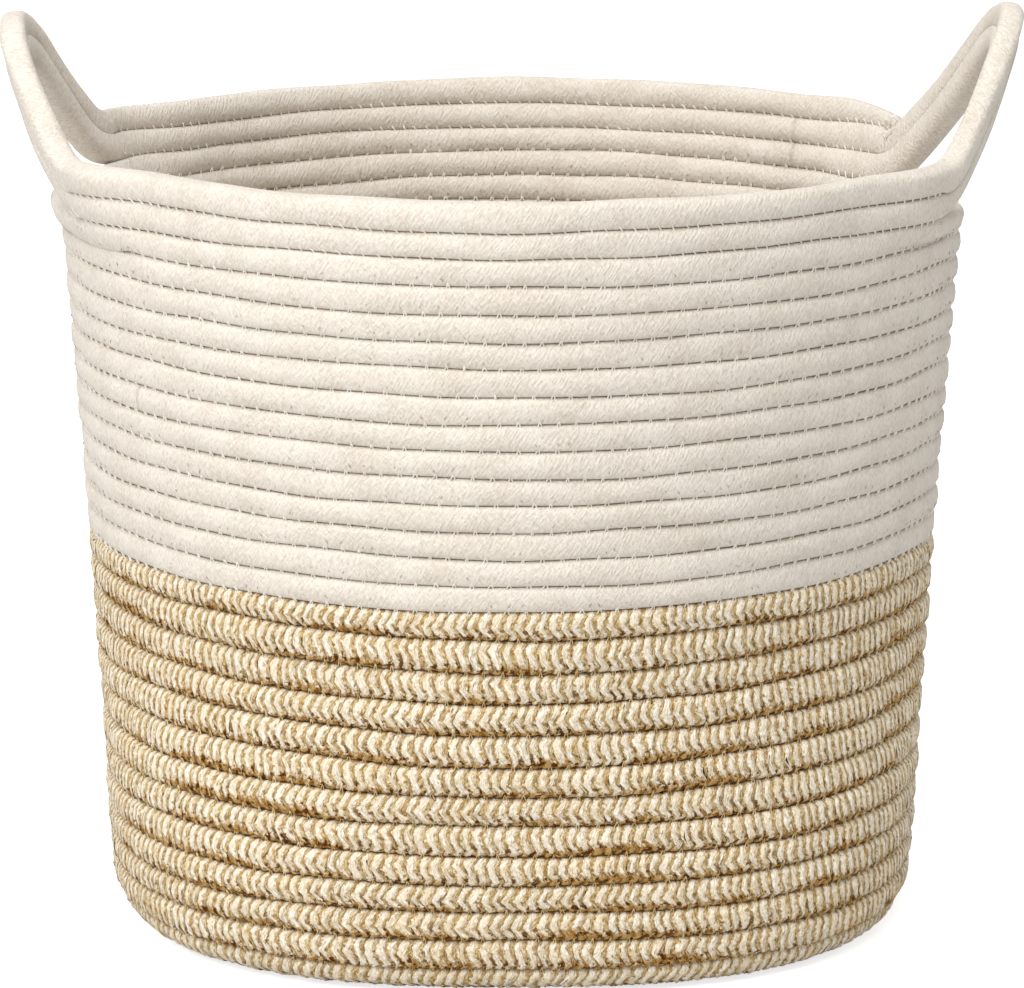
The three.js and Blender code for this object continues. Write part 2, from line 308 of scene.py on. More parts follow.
# A closed tube over a grid of points, rows along it and an even number of columns round it.
# Each end is drawn in to its middle and closed by faces across it, like the rungs of a ladder.
# The rope's own map is along it by round it.
def addTube(name, grid, along, around, attributes):
    drawnIn = 0.02  # an end's last ring is drawn in to this share of its size
    middleStart = grid[:1].mean(axis=1, keepdims=True)
    middleEnd = grid[-1:].mean(axis=1, keepdims=True)
    grid = np.concatenate([middleStart + (grid[:1] - middleStart) * drawnIn, grid,
                           middleEnd + (grid[-1:] - middleEnd) * drawnIn])
    along = np.concatenate([along[:1], along, along[-1:]])
    attributes = {key: np.concatenate([v[:1], v, v[-1:]]) for key, v in attributes.items()}
    rows, columns = grid.shape[:2]
    row, column = np.meshgrid(np.arange(rows - 1), np.arange(columns), indexing="ij")
    beside = (column + 1) % columns
    faces = np.stack([row * columns + column, row * columns + beside,
                      (row + 1) * columns + beside, (row + 1) * columns + column], -1)
    uv = np.stack([
        np.stack([along[row, column], along[row, beside],
                  along[row + 1, beside], along[row + 1, column]], -1),
        np.stack([around[column], around[column + 1], around[column + 1], around[column]], -1),
    ], -1)
    rung = np.arange(columns // 2 - 1)
    ladder = np.stack([rung, rung + 1, columns - 2 - rung, columns - 1 - rung], -1)
    caps = np.concatenate([ladder[:, ::-1], ladder + (rows - 1) * columns])
    capUv = np.stack([along.ravel()[caps], around[caps % columns]], -1)
    faces = np.concatenate([faces.reshape(-1, 4), caps])
    uv = np.concatenate([uv.reshape(-1, 4, 2), capUv])
    return addMesh(name, grid.reshape(-1, 3), faces, uv.reshape(-1, 2),
                   {key: v.ravel() for key, v in attributes.items()})


# Materials

# An sRGB hex colour as linear red, green, blue and alpha.
def linearColor(code):
    values = [int(code[i:i + 2], 16) / 255 for i in (1, 3, 5)]
    linear = [v / 12.92 if v <= 0.04045 else ((v + 0.055) / 1.055) ** 2.4 for v in values]
    return (*linear, 1.0)


# Adds a node, sets its properties, inputs and colour stops, and links its inputs.
def addNode(tree, kind, settings, links=None):
    node = tree.nodes.new("ShaderNode" + kind)
    for key, value in settings.items():
        if key == "stops":
            for i, (place, code) in enumerate(value):
                elements = node.color_ramp.elements
                element = elements[i] if i < 2 else elements.new(place)
                element.position = place
                element.color = linearColor(code)
        elif isinstance(key, str) and hasattr(node, key):
            setattr(node, key, value)
        else:
            node.inputs[key].default_value = value
    for key, socket in (links or {}).items():
        tree.links.new(socket, node.inputs[key])
    return node


def newMaterial(name):
    material = bpy.data.materials.new(name)
    material.use_nodes = True
    tree = material.node_tree
    tree.nodes.clear()
    return material, tree


# Braided jute and cotton: matt, hairy yarns, each from a bright cotton edge to straw-brown jute.
# The eye sees cream zigzags with tan between them; the grooves and seams are darkened brown with
# painted shade.
mixedFinish = {
    "yarnStops": [(0.0, "#CFB687"), (1.0, "#DFCDA6"), (0.12, "#DAC79C"), (0.28, "#E4D4B1"),
                  (0.38, "#F1E6D0"), (0.50, "#FEF8ED"), (0.86, "#FEF9F0"), (0.95, "#F2E8D3")],
    "jutePart": (0.50, 0.34),  # from here to here along the yarn, cream cotton gives way to jute
    "creamShade": "#FAF3E4",
    "juteStreak": "#C9AD7C",
    "creamStreak": "#EADDC4",
    "fleck": "#5C3716",
    # painted shade, brown, for the grooves between yarns and the seams between courses
    "hollow": "#9A7750",
    # jute brown and painted shade for a course's lower flank
    "juteAndShadeFlank": "#CBAE7C",
    "roughness": 0.92,
    "fray": 0.36,  # the yarn's edges wander by this share of its width
}


def makeMixedMaterial():
    material, tree = newMaterial("braidedJuteAndCotton")
    uv = addNode(tree, "UVMap", {"uv_map": "ropeMap"}).outputs[0]
    parts = addNode(tree, "SeparateXYZ", {}, {0: uv})
    place = addNode(tree, "TexCoord", {}).outputs["Object"]
    across = addNode(tree, "Attribute", {"attribute_name": "across"})
    hollow = addNode(tree, "Attribute", {"attribute_name": "hollow"})
    # fibres about 0.4 mm wide and 2 mm long lie along each yarn, drawn coarser than they are
    stretch = addNode(tree, "Mapping", {"Scale": (9.0, 0.5, 1.0)}, {0: uv})
    fibres = addNode(tree, "TexNoise", {"Scale": 1.0, "Detail": 2.0, "Roughness": 0.6},
                     {"Vector": stretch.outputs[0]})
    # single fibres and dust, 1 mm and less
    specks = addNode(tree, "TexNoise",
                     {"Scale": 760.0, "Detail": 2.0, "Roughness": 0.65}, {"Vector": place})
    # dark husks 1 mm across
    husks = addNode(tree, "TexNoise", {"Scale": 520.0, "Detail": 1.0}, {"Vector": place})
    # the mix of jute and cotton changes over 20 mm
    blotches = addNode(tree, "TexNoise", {"Scale": 38.0, "Detail": 2.0}, {"Vector": place})
    # the yarn's place along the rope, moved a little by the fibres, so that its edges fray
    fray = addNode(tree, "Math",
                   {"operation": "MULTIPLY_ADD", 1: mixedFinish["fray"] * 2},
                   {0: specks.outputs["Fac"], 2: parts.outputs[0]})
    centred = addNode(tree, "Math", {"operation": "SUBTRACT", 1: mixedFinish["fray"]},
                      {0: fray.outputs[0]})
    phase = addNode(tree, "Math", {"operation": "FRACT"}, {0: centred.outputs[0]})
    yarns = addNode(tree, "ValToRGB", {"stops": mixedFinish["yarnStops"]}, {0: phase.outputs[0]})
    strand = addNode(tree, "Math", {"operation": "FLOOR"}, {0: centred.outputs[0]})
    strandTone = addNode(tree, "TexWhiteNoise", {"noise_dimensions": "1D"},
                         {"W": strand.outputs[0]})
    tint = addNode(tree, "MapRange", {1: 0.2, 2: 1.0, 3: 0.0, 4: 0.6},
                   {0: strandTone.outputs["Value"]})
    tinted = addNode(tree, "Mix", {"data_type": "RGBA", "blend_type": "MULTIPLY",
                     7: linearColor(mixedFinish["creamShade"])},
                     {0: tint.outputs[0], 6: yarns.outputs[0]})
    creamEnd, juteStart = mixedFinish["jutePart"]
    jute = addNode(tree, "MapRange", {1: juteStart, 2: creamEnd, 3: 1.0, 4: 0.0},
                   {0: phase.outputs[0]})
    streak = addNode(tree, "MapRange", {1: 0.40, 2: 0.60, 3: 0.0, 4: 1.0},
                     {0: fibres.outputs["Fac"]})
    streakTone = addNode(tree, "Mix", {"data_type": "RGBA",
                         6: linearColor(mixedFinish["creamStreak"]),
                         7: linearColor(mixedFinish["juteStreak"])}, {0: jute.outputs[0]})
    streaked = addNode(tree, "Mix", {"data_type": "RGBA", "blend_type": "MULTIPLY"},
                       {0: streak.outputs[0], 6: tinted.outputs[2], 7: streakTone.outputs[2]})
    # the lower flank of a course is browner, raggedly: partly jute, which shows more there, and
    # partly painted shade, as the flank faces down
    ragged = addNode(tree, "Math", {"operation": "MULTIPLY_ADD", 1: 1.5},
                     {0: specks.outputs["Fac"], 2: across.outputs["Fac"]})
    patchy = addNode(tree, "Math", {"operation": "MULTIPLY_ADD", 1: -2.0},
                     {0: blotches.outputs["Fac"], 2: ragged.outputs[0]})
    juteAndShadeFlank = addNode(tree, "MapRange", {1: -0.66, 2: -1.0, 3: 0.0, 4: 1.0}, {0: patchy.outputs[0]})
    lowered = addNode(tree, "Mix", {"data_type": "RGBA", "blend_type": "MULTIPLY",
                      7: linearColor(mixedFinish["juteAndShadeFlank"])},
                      {0: juteAndShadeFlank.outputs[0], 6: streaked.outputs[2]})
    # dark husks stick between the yarns, most of them low on a course
    low = addNode(tree, "MapRange", {1: 0.7, 2: -0.5, 3: 0.1, 4: 1.0}, {0: across.outputs["Fac"]})
    bare = addNode(tree, "Math", {"operation": "MULTIPLY_ADD"},
                   {0: jute.outputs[0], 1: low.outputs[0], 2: juteAndShadeFlank.outputs[0]})
    dots = addNode(tree, "MapRange", {1: 0.54, 2: 0.60, 3: 0.0, 4: 0.9},
                   {0: husks.outputs["Fac"]})
    fleckMask = addNode(tree, "Math", {"operation": "MULTIPLY", "use_clamp": True},
                        {0: dots.outputs[0], 1: bare.outputs[0]})
    flecked = addNode(tree, "Mix", {"data_type": "RGBA",
                      7: linearColor(mixedFinish["fleck"])},
                      {0: fleckMask.outputs[0], 6: lowered.outputs[2]})
    # painted shade: the grooves between yarns and the seams between courses take the brown shade
    # colour, with ragged edges
    roughEdge = addNode(tree, "Math", {"operation": "MULTIPLY_ADD", 1: 0.9},
                        {0: specks.outputs["Fac"], 2: hollow.outputs["Fac"]})
    deep = addNode(tree, "MapRange", {1: 0.62, 2: 1.15, 3: 0.0, 4: 1.0},
                   {0: roughEdge.outputs[0]})
    colored = addNode(tree, "Mix", {"data_type": "RGBA",
                      7: linearColor(mixedFinish["hollow"])},
                      {0: deep.outputs[0], 6: flecked.outputs[2]})
    height = addNode(tree, "Math", {"operation": "MULTIPLY_ADD", 1: 0.6},
                     {0: specks.outputs["Fac"], 2: fibres.outputs["Fac"]})
    bump = addNode(tree, "Bump", {"Strength": 0.9, "Distance": 0.0009},
                   {"Height": height.outputs[0]})
    shader = addNode(tree, "BsdfPrincipled",
                     {"Roughness": mixedFinish["roughness"], "Specular IOR Level": 0.25,
                      "Sheen Weight": 0.15, "Sheen Roughness": 0.5},
                     {"Base Color": colored.outputs[2], "Normal": bump.outputs[0],
                      # light that glances off or through jute fibres takes on their brown
                      "Specular Tint": colored.outputs[2], "Sheen Tint": colored.outputs[2]})
    addNode(tree, "OutputMaterial", {}, {0: shader.outputs[0]})
    return material


# Brushed cotton braid: the nap hides the strands, so the eye sees a dull, woolly white with
# short slanting fibres, and seams greyed by painted shade.
whiteFinish = {
    "light": "#EAE2D6",
    "shade": "#D5CABB",
    # painted shade, grey, for the seams
    "hollow": "#968B7F",
    "roughness": 0.95,
}


def makeWhiteMaterial():
    material, tree = newMaterial("brushedCottonBraid")
    uv = addNode(tree, "UVMap", {"uv_map": "ropeMap"}).outputs[0]
    place = addNode(tree, "TexCoord", {}).outputs["Object"]
    # tufts of fibre 0.8 mm wide and 3 mm long slant across the rope, drawn coarser than they are
    rising = addNode(tree, "Mapping", {"vector_type": "TEXTURE",
                     "Rotation": (0, 0, math.radians(122)), "Scale": (3.0, 0.8, 1.0)}, {0: uv})
    falling = addNode(tree, "Mapping", {"vector_type": "TEXTURE",
                      "Rotation": (0, 0, math.radians(52)), "Scale": (2.4, 0.8, 1.0)}, {0: uv})
    tufts = addNode(tree, "TexNoise", {"Scale": 1.0, "Detail": 2.0, "Roughness": 0.6},
                    {"Vector": rising.outputs[0]})
    crossing = addNode(tree, "TexNoise",
                       {"Scale": 1.0, "Detail": 2.0, "Roughness": 0.6},
                       {"Vector": falling.outputs[0]})
    wool = addNode(tree, "TexNoise", {"Scale": 1100.0, "Detail": 2.0, "Roughness": 0.7},
                   {"Vector": place})
    blotches = addNode(tree, "TexNoise", {"Scale": 70.0, "Detail": 2.0}, {"Vector": place})
    tufted = addNode(tree, "Math", {"operation": "MULTIPLY_ADD", 1: 0.7},
                     {0: crossing.outputs["Fac"], 2: tufts.outputs["Fac"]})
    woolly = addNode(tree, "Math", {"operation": "MULTIPLY_ADD", 1: 0.3},
                     {0: wool.outputs["Fac"], 2: tufted.outputs[0]})
    mottled = addNode(tree, "Math", {"operation": "MULTIPLY_ADD", 1: 0.5},
                      {0: blotches.outputs["Fac"], 2: woolly.outputs[0]})
    tone = addNode(tree, "MapRange", {1: 1.02, 2: 1.40, 3: 0.0, 4: 1.0}, {0: mottled.outputs[0]})
    cotton = addNode(tree, "Mix", {"data_type": "RGBA",
                     6: linearColor(whiteFinish["shade"]), 7: linearColor(whiteFinish["light"])},
                     {0: tone.outputs[0]})
    # painted shade: the seams between courses are greyed
    hollow = addNode(tree, "Attribute", {"attribute_name": "hollow"})
    colored = addNode(tree, "Mix", {"data_type": "RGBA",
                      7: linearColor(whiteFinish["hollow"])},
                      {0: hollow.outputs["Fac"], 6: cotton.outputs[2]})
    bump = addNode(tree, "Bump", {"Strength": 0.9, "Distance": 0.0007},
                   {"Height": woolly.outputs[0]})
    shader = addNode(tree, "BsdfPrincipled",
                     {"Roughness": whiteFinish["roughness"], "Specular IOR Level": 0.2,
                      "Sheen Weight": 0.2, "Sheen Roughness": 0.5},
                     {"Base Color": colored.outputs[2], "Normal": bump.outputs[0]})
    addNode(tree, "OutputMaterial", {}, {0: shader.outputs[0]})
    return material


# Spun sewing thread and loose fibres: smooth and a little shinier than the rope. The colour
# changes from stitch to stitch by a noise about 3 mm coarse.
def makeThreadMaterial(name, light, shade):
    material, tree = newMaterial(name)
    place = addNode(tree, "TexCoord", {}).outputs["Object"]
    noise = addNode(tree, "TexNoise", {"Scale": 300.0, "Detail": 2.0}, {"Vector": place})
    tone = addNode(tree, "MapRange", {1: 0.35, 2: 0.65}, {0: noise.outputs["Fac"]})
    color = addNode(tree, "Mix", {"data_type": "RGBA", 6: linearColor(light),
                    7: linearColor(shade)}, {0: tone.outputs[0]})
    shader = addNode(tree, "BsdfPrincipled",
                     {"Roughness": 0.7, "Specular IOR Level": 0.3},
                     {"Base Color": color.outputs[2]})
    addNode(tree, "OutputMaterial", {}, {0: shader.outputs[0]})
    return material


mixedMaterial = makeMixedMaterial()
whiteMaterial = makeWhiteMaterial()
whiteThreadMaterial = makeThreadMaterial("whiteSewingThread", "#FBF7F0", "#EFE8DC")
strawThreadMaterial = makeThreadMaterial("strawSewingThread", "#E8D6A8", "#C9A768")
juteFibreMaterial = makeThreadMaterial("looseJuteFibre", "#E3CD9C", "#B8935A")
holeMaterial = makeThreadMaterial("shadedNeedleHole", "#B3A89A", "#9C9183")
print("materials made")


def finishPiece(piece, material, slot, *nodes):
    piece.data.materials.append(material)
    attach(piece, "root")
    if nodes:
        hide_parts(*nodes)


# Mixed rope, braided so that each yarn zigzags across it

mixedBraid = {
    "yarnPitch": 3.85,  # from one cream yarn to the next, along the rope
    "pitchSpread": 0.09,
    # heights of the surface at these places along a yarn, as shares of the relief
    "phases": [0.0, 0.08, 0.20, 0.36, 0.50, 0.66, 0.80, 0.91],
    "heights": [0.0, 0.35, 0.48, 0.40, 0.80, 1.0, 0.95, 0.55],
    "relief": 0.42,
    "liftSpread": 0.14,  # whole yarns stand proud or back by this much
    # the yarn runs ahead by this much at these shares across the rope
    "zigzag": ([-1.0, -0.62, 0.14, 1.0], [1.5, 0.0, 3.1, 0.5]),
    "facing": (0.6, 0.95),  # the zigzag grows in between these sines of the azimuth
    "drift": (0.16, 0.10),  # the zigzag wanders up and down the rope by these shares
    "driftLengths": (61.0, 23.0),
    "driftSpread": 0.08,
    "rough": (0.26, 0.14),  # the yarns' edges and surface wander by this much
    "endRun": 6.0,  # the zigzag and the wander grow in over this length at each end
    # painted shade at these places along a yarn, in its groove, and next to the seams
    "groove": ([0.0, 0.09, 0.9, 1.0], [0.14, 0.0, 0.0, 0.14]),
    "seamDark": 0.9,
    "fullness": 3.1,
    "angles": [-90, -75, -60, -42, -22, 0, 22, 42, 60, 75, 90, 108, 136, 180, 224, 252],
    "baseAngles": [-90, -66, -36, 0, 36, 66, 90, 114, 148, 180, 212, 246],
    "basePhases": [0.0, 0.12, 0.36, 0.52, 0.70, 0.88],
}


# Height of the braid at a place along a yarn, from 0 in the groove to 1 on the ridge.
def yarnHeight(phase):
    return np.interp(phase, mixedBraid["phases"] + [1.0], mixedBraid["heights"] + [0.0])


# The surface is a grid: rows follow the yarns, a few to each, and columns go round the section.
# A point's place along the rope is its yarn's place plus the zigzag's lead at its share across,
# and its depth is the section's plus the relief of the yarn.
def addMixedRope(name, start, end, angles, phases, nodes):
    path = RopePath(start, end)
    count = max(2, int(path.total / mixedBraid["yarnPitch"]))
    uneven = rng.normal(0, mixedBraid["pitchSpread"], count + 1)
    bounds = np.arange(count + 1) + np.clip(uneven, -0.2, 0.2)
    bounds[[0, -1]] = 0, count
    bounds = bounds * path.total / count
    phases = np.array(phases)
    yarn = np.repeat(np.arange(count), len(phases))
    phase = np.tile(phases, count)
    angle = np.radians(angles)[None, :]
    share, out = sectionShape(angle, mixedBraid["fullness"])
    around = lengthRound(share, out, ropes["mixedThickness"], ropes["mixedPitchHigh"])
    length = (bounds[yarn] + phase * (bounds[yarn + 1] - bounds[yarn]))[:, None]
    slow, quick = mixedBraid["drift"]
    slowLength, quickLength = mixedBraid["driftLengths"]
    point = slow * np.sin(length / slowLength) + quick * np.sin(length / quickLength + 1)
    point = point + rng.normal(0, mixedBraid["driftSpread"], count)[yarn][:, None]
    # in the photograph the zigzag shows most at the front and hardly at the sides
    facing = smoothStep(np.abs(np.sin(azimuthOf(path.turnAt(length)))), *mixedBraid["facing"])
    lead = np.interp(share - point, *mixedBraid["zigzag"]) * (0.3 + 0.7 * facing)
    edge = np.clip(np.minimum(length, path.total - length) / mixedBraid["endRun"], 0, 1)
    ragged, rough = (rng.normal(0, spread, lead.shape) for spread in mixedBraid["rough"])
    placed = np.clip(length + (lead + ragged) * edge, 0, path.total)
    height = yarnHeight(phase)[:, None]
    lift = rng.normal(0, mixedBraid["liftSpread"], count)[yarn][:, None]
    relief = (height - 1) * mixedBraid["relief"] + lift + rough * edge
    relief = relief * (0.3 + 0.7 * np.abs(out) ** 0.7)
    pinched = share * (1 - 0.05 * (1 - height))
    depth = out * ropes["mixedThickness"] / 2 + np.sign(out) * relief
    grid = ropePoint(path.turnAt(placed), pinched, depth)
    # painted shade in the grooves between yarns and next to the seams between courses
    groove = np.interp(phase, *mixedBraid["groove"])[:, None]
    nearSeam = smoothStep(np.abs(share), 0.95, 1.0) * mixedBraid["seamDark"]
    hollow = np.maximum(groove * (0.6 + 0.4 * np.abs(share)), nearSeam)
    across = np.broadcast_to(share, hollow.shape)
    along = np.broadcast_to((yarn + phase)[:, None], hollow.shape)
    piece = addTube(name, grid, along, around, {"hollow": hollow, "across": across})
    finishPiece(piece, mixedMaterial, "mixed_rope", *nodes)


baseSplit = 9.6  # the turn at which the base's rope passes from one piece to the next
wallPieces = 5
for name, start, end in (("Inner", startTurn, baseSplit), ("Outer", baseSplit, wallTurn)):
    addMixedRope(f"mixedRopeBase{name}", start, end, mixedBraid["baseAngles"],
                 mixedBraid["basePhases"], ["base_coil"])
wallParts = np.linspace(wallTurn, whiteTurn, wallPieces + 1)
for i in range(wallPieces):
    addMixedRope(f"mixedRopeWall{i + 1}", wallParts[i], wallParts[i + 1], mixedBraid["angles"],
                 mixedBraid["phases"], ["lower_wall_coil"])

eye = {
    "radius": 8.4,
    "offset": 3.2,  # from the basket's middle
    "turned": math.radians(50),  # from the rope's start
    "relief": 0.5,
    "lower": 0.4,  # than the rope beside it
    "columns": 20,
}


# The rope's start is turned in on itself and fills the eye of the spiral as a round knob: a
# ball, pressed flat to the rope's thickness, with the braid's relief in rings along x.
def addEye():
    radius = eye["radius"]
    phases = np.arange(0, 2 * radius / mixedBraid["yarnPitch"], 0.125)[:, None]
    x = np.clip(phases * mixedBraid["yarnPitch"] - radius, -0.97 * radius, 0.97 * radius)
    angle = np.linspace(0, 2 * math.pi, eye["columns"] + 1)[None, :-1]
    size = np.sqrt(radius**2 - x**2) - (1 - yarnHeight(phases % 1)) * eye["relief"]
    direction = azimuthOf(startTurn) + eye["turned"]
    flatness = ropes["mixedThickness"] / 2 / radius
    grid = np.stack([
        eye["offset"] * math.cos(direction) + x + 0 * angle,
        eye["offset"] * math.sin(direction) + size * np.cos(angle),
        np.maximum(0, baseHeight - eye["lower"] + size * flatness * np.sin(angle)),
    ], -1)
    around = np.linspace(0, 2 * math.pi * radius, eye["columns"] + 1)
    along = np.broadcast_to(phases, grid.shape[:2])
    plain = np.zeros(grid.shape[:2])
    knob = addTube("mixedRopeEye", grid, along, around, {"hollow": plain, "across": plain})
    finishPiece(knob, mixedMaterial, "mixed_rope")


addEye()
print("mixed rope wound")

# White rope, brushed so soft that its braid hardly shows

whiteBraid = {
    "step": 2.6,
    "fullness": 3.1,
    "angles": [-90, -76, -62, -44, -23, 0, 23, 44, 62, 76, 90, 102, 118, 146, 180, 214, 242, 258],
    "joinedFullness": 5.0,  # added where two handle courses are pressed together
    "lump": 0.14,
    "lumpLengths": (7.1, 17.3),
    # painted shade of a seam: from here, earlier by this where a dash is, to here across the rope
    "seamDark": (0.945, 0.045, 0.985),
    "endOver": 0.005,  # the rope's end is pushed into the corner by this share of a turn
    "droop": 38.0,  # the rope's end thins downwards over this length, to this share
    "endSize": 0.60,
    "endRound": 3.0,
}


# How far a course at these turns is lifted off by the handles, from 0 to 1, counted as the
# given layer of their band.
def liftedShare(turn, layer):
    lifted = np.zeros_like(turn)
    for handle in handles:
        away = np.abs(slotPlace(turn, layer, handle))
        lifted = np.maximum(lifted, 1 - smoothStep(away, 0.94, 1.03))
    return lifted


# The surface is a grid of sections set square to the rope at even steps. The section is a
# superellipse with slow lumps, and a loose end shrinks downwards and is rounded off.
def addWhiteRope(name, start, end, nodes, loose=False):
    path = RopePath(start, end)
    count = int(path.total / whiteBraid["step"])
    length = np.linspace(0, path.total, count + 1)
    if loose:
        endSteps = whiteBraid["endRound"] * np.linspace(0.6, 0, 9) ** 2
        length = np.append(length[:-1], path.total - endSteps)
    length = length[:, None]
    turn = path.turnAt(length)
    angle = np.radians(whiteBraid["angles"])[None, :]
    # the handle courses are pressed together harder, so their shared seam is shallow
    joined = np.where(np.sin(angle) > 0, liftedShare(turn, 0), liftedShare(turn, 1))
    fullness = whiteBraid["fullness"] + whiteBraid["joinedFullness"] * joined
    share, out = sectionShape(angle, fullness)
    around = lengthRound(share[0], out[0], ropes["whiteThickness"], ropes["whitePitch"])
    short, long = whiteBraid["lumpLengths"]
    lump = np.sin(length / short + 2 * angle) + np.sin(length / long - 3 * angle)
    lump = whiteBraid["lump"] * lump
    size = np.ones_like(length)
    if loose:
        left = path.total - length
        endSize = whiteBraid["endSize"]
        size = endSize + (1 - endSize) * smoothStep(left, 0, whiteBraid["droop"])
        size = size * np.sqrt(1 - 0.93 * (1 - np.clip(left / whiteBraid["endRound"], 0, 1)) ** 2)
    depth = (out * ropes["whiteThickness"] / 2 + np.sign(out) * lump) * size
    grid = ropePoint(turn, (share + 1) * size - 1, depth)
    # the seams get painted shade, in dashes, and the rim's top and the slots have no seam
    openOver = np.maximum(smoothStep(turn, endTurn - 1.01, endTurn - 1), liftedShare(turn, -1))
    openSide = np.where(share > 0, openOver, liftedShare(turn, 0))
    dash = 0.75 + 0.25 * np.sin(length / 2.3 + 2 * np.sin(length / 7.7))
    darkFrom, dashEarlier, darkTo = whiteBraid["seamDark"]
    hollow = smoothStep(np.abs(share), darkFrom - dashEarlier * dash, darkTo)
    hollow = hollow * np.where(out > 0, 1, 0.4) * (1 - openSide) * (1 - joined)
    along = np.broadcast_to(length, grid.shape[:2])
    piece = addTube(name, grid, along, around, {"hollow": hollow})
    finishPiece(piece, whiteMaterial, "white_rope", *nodes)


whiteSplit = (whiteTurn + firstLift) / 2
addWhiteRope("whiteRopeWallLower", whiteTurn, whiteSplit, ["upper_wall_coil"])
addWhiteRope("whiteRopeWallUpper", whiteSplit, firstLift, ["upper_wall_coil"])
addWhiteRope("whiteRopeHandleLower", firstLift, firstLift + 1, ["handle_course_lower"])
addWhiteRope("whiteRopeHandleUpper", firstLift + 1, endTurn + whiteBraid["endOver"],
             ["handle_course_upper"], loose=True)
print("white rope wound")


# Round threads over many short centre lines at once: a ring of three corners at each point,
# square to the line, and a face over each end.
def addThreads(name, lines, radius, material, slot, taper=1.0):
    count, points = lines.shape[:2]
    tangent = np.gradient(lines, axis=1)
    tangent /= np.linalg.norm(tangent, axis=-1, keepdims=True) + 1e-9
    outward = lines * np.array([1, 1, 0])
    outward /= np.linalg.norm(outward, axis=-1, keepdims=True) + 1e-9
    side = np.cross(tangent, outward)
    side /= np.linalg.norm(side, axis=-1, keepdims=True) + 1e-9
    over = np.cross(side, tangent)
    radii = (radius * np.linspace(1, taper, points))[None, :, None, None]
    turn = np.arange(3)[None, None, :, None] * 2 * math.pi / 3
    spoke = np.cos(turn) * over[:, :, None] + np.sin(turn) * side[:, :, None]
    ring = lines[:, :, None] + radii * spoke
    base = (np.arange(count) * points * 3)[:, None, None]
    row = np.arange(points - 1)[None, :, None] * 3
    column = np.arange(3)[None, None, :]
    beside = (column + 1) % 3
    near, nearBeside = base + row + column, base + row + beside
    far, farBeside = near + 3, nearBeside + 3
    walls = np.concatenate([np.stack([near, nearBeside, farBeside], -1).reshape(-1, 3),
                            np.stack([near, farBeside, far], -1).reshape(-1, 3)])
    first = base[:, 0] + np.array([2, 1, 0])
    last = base[:, 0] + (points - 1) * 3 + np.array([0, 1, 2])
    piece = addMesh(name, ring.reshape(-1, 3), np.concatenate([walls, first, last]))
    finishPiece(piece, material, slot)


# Zigzag sewing over each seam

stitch = {
    "pitch": 6.2,
    "radius": 0.36,
    "strawRadius": 0.26,
    "top": -0.66,  # the upper end that shows, as a share in the rope over the seam
    "foot": -1.28,  # the lower end, in the rope under the seam
    "spread": 0.9,  # the feet of a stitch stand this far to each side of its top
    "unevenness": 0.3,
    # how far the ends stand out, and the shares and standing of the two points between them
    "upperEnd": -0.2,
    "lowerEnd": -0.25,
    "bridge": ((-0.88, 0.5), (-1.06, 0.5)),
    "rimPitch": 4.6,
    "rimSlant": 2.2,  # the single stitches of the rim's seams slant by this much
    "fullness": 2.6,
}
holes = {
    "kept": 0.7,  # the share of the stitches whose hole shows
    "place": (-0.42, 0.10),  # share in the rope over the seam, and its scatter
    "scatter": 1.5,
    "size": (0.55, 1.1),
    "corner": (0.24, 0.85),  # half a hole's width and height, as shares of its size
    "slant": 0.45,
    "proud": 0.12,
    "deep": 0.3,
    "fullness": 2.7,
}


# How far the rope's surface stands from its middle at a share across it.
def surfaceDepth(share, thickness, fullness):
    inside = np.abs((share + 1) % 2 - 1)
    return (1 - np.clip(inside, 0, 1) ** fullness) ** (1 / fullness) * thickness / 2


# Stitches from one turn to another, left out where the seam is open over a slot.
def stitchLengths(path, openLayer, pitch=stitch["pitch"]):
    count = int(path.total / pitch)
    uneven = rng.normal(0, stitch["unevenness"], count)
    length = (np.arange(count) + 0.5) * path.total / count + uneven
    if openLayer is None:
        return length
    turn = path.turnAt(length)
    closed = np.ones(count, dtype=bool)
    for handle in handles:
        closed &= np.abs(slotPlace(turn, openLayer, handle)) > 1.03
    return length[closed]


# A stitch is a line of four points from a needle hole over the seam to its foot. Most have two
# feet, so the row is a zigzag, and those of the rim have one. The face is 1 outside, -1 inside.
def addStitches(name, face, start, end, thickness, material, slot, openLayer=None):
    path = RopePath(start, end)
    rim = openLayer is not None
    top = stitchLengths(path, openLayer, stitch["rimPitch"] if rim else stitch["pitch"])
    points = [(stitch["top"], stitch["upperEnd"]), *stitch["bridge"],
              (stitch["foot"], stitch["lowerEnd"])]
    lines = []
    for side in (face * stitch["rimSlant"],) if rim else (-stitch["spread"], stitch["spread"]):
        foot = top - side + rng.normal(0, stitch["unevenness"], len(top))
        corners = []
        for share, sink in points:
            along = (stitch["top"] - share) / (stitch["top"] - stitch["foot"])
            place = path.turnAt(top + (foot - top) * along)
            depth = surfaceDepth(min(abs(share), 0.9), thickness, stitch["fullness"]) + sink
            corners.append(ropePoint(place, share, face * depth))
        lines.append(np.stack(corners, axis=1))
    radius = stitch["strawRadius"] if slot == "mixed_rope" else stitch["radius"]
    addThreads(name, np.concatenate(lines), radius, material, slot)


